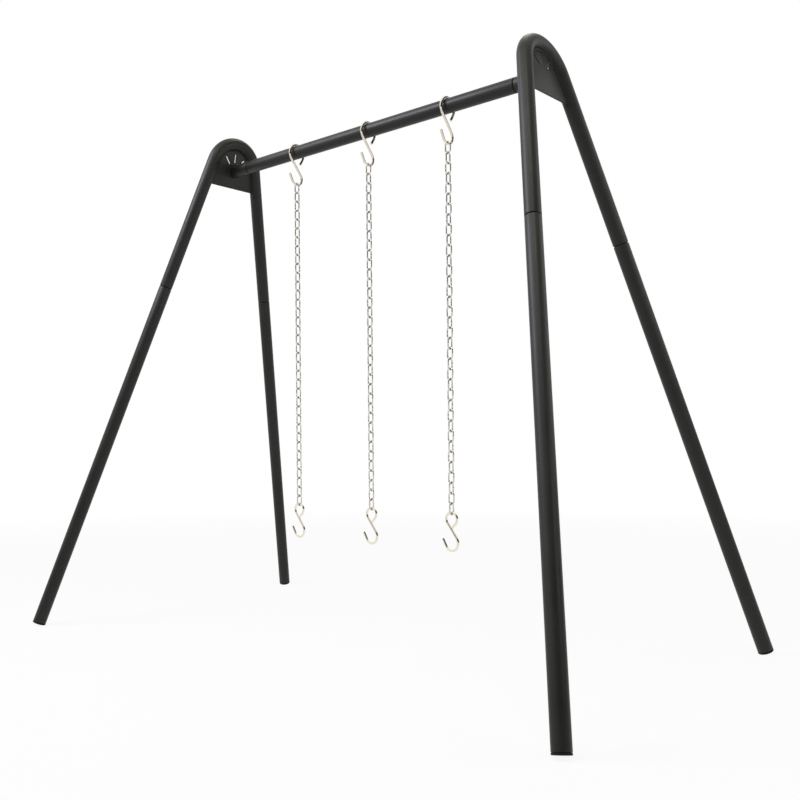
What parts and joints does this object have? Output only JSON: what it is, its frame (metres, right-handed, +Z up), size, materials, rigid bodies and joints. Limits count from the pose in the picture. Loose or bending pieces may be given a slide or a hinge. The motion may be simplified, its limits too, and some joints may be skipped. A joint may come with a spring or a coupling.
{
  "type": "campfire pot hanger",
  "caption": "Free-standing campfire hanger: bent-tube end frames lean outwards and carry a plug-in crossbar, with chains on S-hooks to hang pots over a fire.",
  "frame": {"origin": "on the ground, midway between the four feet", "axes": "+X along the crossbar to the right of the picture, +Y away from the viewer, +Z up"},
  "size_m": [1.2124, 0.6954, 1.0099],
  "materials": {
    "black_coat": "satin black powder coat on steel tube and plate",
    "black_plug": "matt black moulded plug",
    "plated_steel": "bright plated steel wire"
  },
  "bodies": {
    "crossbar": {"crossbar": "black_coat"},
    "left_end_frame": {"left_arch_tube": "black_coat", "left_gusset_plate": "black_coat", "left_stub_tube": "black_coat", "left_bar_spigot": "black_coat"},
    "right_end_frame": {"right_arch_tube": "black_coat", "right_gusset_plate": "black_coat", "right_stub_tube": "black_coat", "right_bar_spigot": "black_coat"},
    "front_left_leg": {"front_left_lower_leg": "black_coat", "front_left_leg_sleeve": "black_coat", "front_left_foot_plug": "black_plug"},
    "back_left_leg": {"back_left_lower_leg": "black_coat", "back_left_leg_sleeve": "black_coat", "back_left_foot_plug": "black_plug"},
    "front_right_leg": {"front_right_lower_leg": "black_coat", "front_right_leg_sleeve": "black_coat", "front_right_foot_plug": "black_plug"},
    "back_right_leg": {"back_right_lower_leg": "black_coat", "back_right_leg_sleeve": "black_coat", "back_right_foot_plug": "black_plug"},
    "left_upper_hook": {"left_upper_hook": "plated_steel"},
    "left_chain_1": {"left_chain_1": "plated_steel"},
    "left_chain_2": {"left_chain_2": "plated_steel"},
    "left_chain_3": {"left_chain_3": "plated_steel"},
    "left_chain_4": {"left_chain_4": "plated_steel"},
    "left_chain_5": {"left_chain_5": "plated_steel"},
    "left_chain_6": {"left_chain_6": "plated_steel"},
    "left_chain_7": {"left_chain_7": "plated_steel"},
    "left_chain_8": {"left_chain_8": "plated_steel"},
    "left_chain_9": {"left_chain_9": "plated_steel"},
    "left_lower_hook": {"left_lower_hook": "plated_steel"},
    "middle_upper_hook": {"middle_upper_hook": "plated_steel"},
    "middle_chain_1": {"middle_chain_1": "plated_steel"},
    "middle_chain_2": {"middle_chain_2": "plated_steel"},
    "middle_chain_3": {"middle_chain_3": "plated_steel"},
    "middle_chain_4": {"middle_chain_4": "plated_steel"},
    "middle_chain_5": {"middle_chain_5": "plated_steel"},
    "middle_chain_6": {"middle_chain_6": "plated_steel"},
    "middle_chain_7": {"middle_chain_7": "plated_steel"},
    "middle_chain_8": {"middle_chain_8": "plated_steel"},
    "middle_chain_9": {"middle_chain_9": "plated_steel"},
    "middle_lower_hook": {"middle_lower_hook": "plated_steel"},
    "right_upper_hook": {"right_upper_hook": "plated_steel"},
    "right_chain_1": {"right_chain_1": "plated_steel"},
    "right_chain_2": {"right_chain_2": "plated_steel"},
    "right_chain_3": {"right_chain_3": "plated_steel"},
    "right_chain_4": {"right_chain_4": "plated_steel"},
    "right_chain_5": {"right_chain_5": "plated_steel"},
    "right_chain_6": {"right_chain_6": "plated_steel"},
    "right_chain_7": {"right_chain_7": "plated_steel"},
    "right_chain_8": {"right_chain_8": "plated_steel"},
    "right_chain_9": {"right_chain_9": "plated_steel"},
    "right_lower_hook": {"right_lower_hook": "plated_steel"}
  },
  "joints": [
    {"name": "left_frame_pull", "type": "slide", "parent": "crossbar", "child": "left_end_frame", "axis": [-1, 0, 0], "range_m": [0, 0.045]},
    {"name": "right_frame_pull", "type": "slide", "parent": "crossbar", "child": "right_end_frame", "axis": [1, 0, 0], "range_m": [0, 0.045]},
    {"name": "front_left_leg_pull", "type": "slide", "parent": "left_end_frame", "child": "front_left_leg", "axis": [-0.2113, -0.2763, -0.9376], "range_m": [0, 0.06]},
    {"name": "back_left_leg_pull", "type": "slide", "parent": "left_end_frame", "child": "back_left_leg", "axis": [-0.2113, 0.2763, -0.9376], "range_m": [0, 0.06]},
    {"name": "front_right_leg_pull", "type": "slide", "parent": "right_end_frame", "child": "front_right_leg", "axis": [0.2113, -0.2763, -0.9376], "range_m": [0, 0.06]},
    {"name": "back_right_leg_pull", "type": "slide", "parent": "right_end_frame", "child": "back_right_leg", "axis": [0.2113, 0.2763, -0.9376], "range_m": [0, 0.06]},
    {"name": "left_hook_slide", "type": "slide", "parent": "crossbar", "child": "left_upper_hook", "axis": [1, 0, 0], "range_m": [-0.135, 0.14]},
    {"name": "left_chain_1_swing", "type": "hinge", "parent": "left_upper_hook", "child": "left_chain_1", "pos_m": [-0.187, 0, 0.88016], "axis": [1, 0, 0], "range_deg": [-70, 70]},
    {"name": "left_chain_2_swing", "type": "hinge", "parent": "left_chain_1", "child": "left_chain_2", "pos_m": [-0.187, 0, 0.80906], "axis": [-1, 0, 0], "range_deg": [-70, 70]},
    {"name": "left_chain_3_swing", "type": "hinge", "parent": "left_chain_2", "child": "left_chain_3", "pos_m": [-0.187, 0, 0.73796], "axis": [1, 0, 0], "range_deg": [-70, 70]},
    {"name": "left_chain_4_swing", "type": "hinge", "parent": "left_chain_3", "child": "left_chain_4", "pos_m": [-0.187, 0, 0.66686], "axis": [-1, 0, 0], "range_deg": [-70, 70]},
    {"name": "left_chain_5_swing", "type": "hinge", "parent": "left_chain_4", "child": "left_chain_5", "pos_m": [-0.187, 0, 0.59576], "axis": [1, 0, 0], "range_deg": [-70, 70]},
    {"name": "left_chain_6_swing", "type": "hinge", "parent": "left_chain_5", "child": "left_chain_6", "pos_m": [-0.187, 0, 0.52466], "axis": [-1, 0, 0], "range_deg": [-70, 70]},
    {"name": "left_chain_7_swing", "type": "hinge", "parent": "left_chain_6", "child": "left_chain_7", "pos_m": [-0.187, 0, 0.45356], "axis": [1, 0, 0], "range_deg": [-70, 70]},
    {"name": "left_chain_8_swing", "type": "hinge", "parent": "left_chain_7", "child": "left_chain_8", "pos_m": [-0.187, 0, 0.38246], "axis": [-1, 0, 0], "range_deg": [-70, 70]},
    {"name": "left_chain_9_swing", "type": "hinge", "parent": "left_chain_8", "child": "left_chain_9", "pos_m": [-0.187, 0, 0.31136], "axis": [1, 0, 0], "range_deg": [-70, 70]},
    {"name": "left_lower_hook_swing", "type": "hinge", "parent": "left_chain_9", "child": "left_lower_hook", "pos_m": [-0.187, 0, 0.24119], "axis": [-1, 0, 0], "range_deg": [-70, 70]},
    {"name": "middle_hook_slide", "type": "slide", "parent": "crossbar", "child": "middle_upper_hook", "axis": [1, 0, 0], "range_m": [-0.14, 0.14]},
    {"name": "middle_chain_1_swing", "type": "hinge", "parent": "middle_upper_hook", "child": "middle_chain_1", "pos_m": [0.005, 0, 0.88016], "axis": [1, 0, 0], "range_deg": [-70, 70]},
    {"name": "middle_chain_2_swing", "type": "hinge", "parent": "middle_chain_1", "child": "middle_chain_2", "pos_m": [0.005, 0, 0.80906], "axis": [-1, 0, 0], "range_deg": [-70, 70]},
    {"name": "middle_chain_3_swing", "type": "hinge", "parent": "middle_chain_2", "child": "middle_chain_3", "pos_m": [0.005, 0, 0.73796], "axis": [1, 0, 0], "range_deg": [-70, 70]},
    {"name": "middle_chain_4_swing", "type": "hinge", "parent": "middle_chain_3", "child": "middle_chain_4", "pos_m": [0.005, 0, 0.66686], "axis": [-1, 0, 0], "range_deg": [-70, 70]},
    {"name": "middle_chain_5_swing", "type": "hinge", "parent": "middle_chain_4", "child": "middle_chain_5", "pos_m": [0.005, 0, 0.59576], "axis": [1, 0, 0], "range_deg": [-70, 70]},
    {"name": "middle_chain_6_swing", "type": "hinge", "parent": "middle_chain_5", "child": "middle_chain_6", "pos_m": [0.005, 0, 0.52466], "axis": [-1, 0, 0], "range_deg": [-70, 70]},
    {"name": "middle_chain_7_swing", "type": "hinge", "parent": "middle_chain_6", "child": "middle_chain_7", "pos_m": [0.005, 0, 0.45356], "axis": [1, 0, 0], "range_deg": [-70, 70]},
    {"name": "middle_chain_8_swing", "type": "hinge", "parent": "middle_chain_7", "child": "middle_chain_8", "pos_m": [0.005, 0, 0.38246], "axis": [-1, 0, 0], "range_deg": [-70, 70]},
    {"name": "middle_chain_9_swing", "type": "hinge", "parent": "middle_chain_8", "child": "middle_chain_9", "pos_m": [0.005, 0, 0.31136], "axis": [1, 0, 0], "range_deg": [-70, 70]},
    {"name": "middle_lower_hook_swing", "type": "hinge", "parent": "middle_chain_9", "child": "middle_lower_hook", "pos_m": [0.005, 0, 0.24119], "axis": [-1, 0, 0], "range_deg": [-70, 70]},
    {"name": "right_hook_slide", "type": "slide", "parent": "crossbar", "child": "right_upper_hook", "axis": [1, 0, 0], "range_m": [-0.14, 0.133]},
    {"name": "right_chain_1_swing", "type": "hinge", "parent": "right_upper_hook", "child": "right_chain_1", "pos_m": [0.189, 0, 0.88016], "axis": [1, 0, 0], "range_deg": [-70, 70]},
    {"name": "right_chain_2_swing", "type": "hinge", "parent": "right_chain_1", "child": "right_chain_2", "pos_m": [0.189, 0, 0.80906], "axis": [-1, 0, 0], "range_deg": [-70, 70]},
    {"name": "right_chain_3_swing", "type": "hinge", "parent": "right_chain_2", "child": "right_chain_3", "pos_m": [0.189, 0, 0.73796], "axis": [1, 0, 0], "range_deg": [-70, 70]},
    {"name": "right_chain_4_swing", "type": "hinge", "parent": "right_chain_3", "child": "right_chain_4", "pos_m": [0.189, 0, 0.66686], "axis": [-1, 0, 0], "range_deg": [-70, 70]},
    {"name": "right_chain_5_swing", "type": "hinge", "parent": "right_chain_4", "child": "right_chain_5", "pos_m": [0.189, 0, 0.59576], "axis": [1, 0, 0], "range_deg": [-70, 70]},
    {"name": "right_chain_6_swing", "type": "hinge", "parent": "right_chain_5", "child": "right_chain_6", "pos_m": [0.189, 0, 0.52466], "axis": [-1, 0, 0], "range_deg": [-70, 70]},
    {"name": "right_chain_7_swing", "type": "hinge", "parent": "right_chain_6", "child": "right_chain_7", "pos_m": [0.189, 0, 0.45356], "axis": [1, 0, 0], "range_deg": [-70, 70]},
    {"name": "right_chain_8_swing", "type": "hinge", "parent": "right_chain_7", "child": "right_chain_8", "pos_m": [0.189, 0, 0.38246], "axis": [-1, 0, 0], "range_deg": [-70, 70]},
    {"name": "right_chain_9_swing", "type": "hinge", "parent": "right_chain_8", "child": "right_chain_9", "pos_m": [0.189, 0, 0.31136], "axis": [1, 0, 0], "range_deg": [-70, 70]},
    {"name": "right_lower_hook_swing", "type": "hinge", "parent": "right_chain_9", "child": "right_lower_hook", "pos_m": [0.189, 0, 0.24119], "axis": [-1, 0, 0], "range_deg": [-70, 70]}
  ]
}
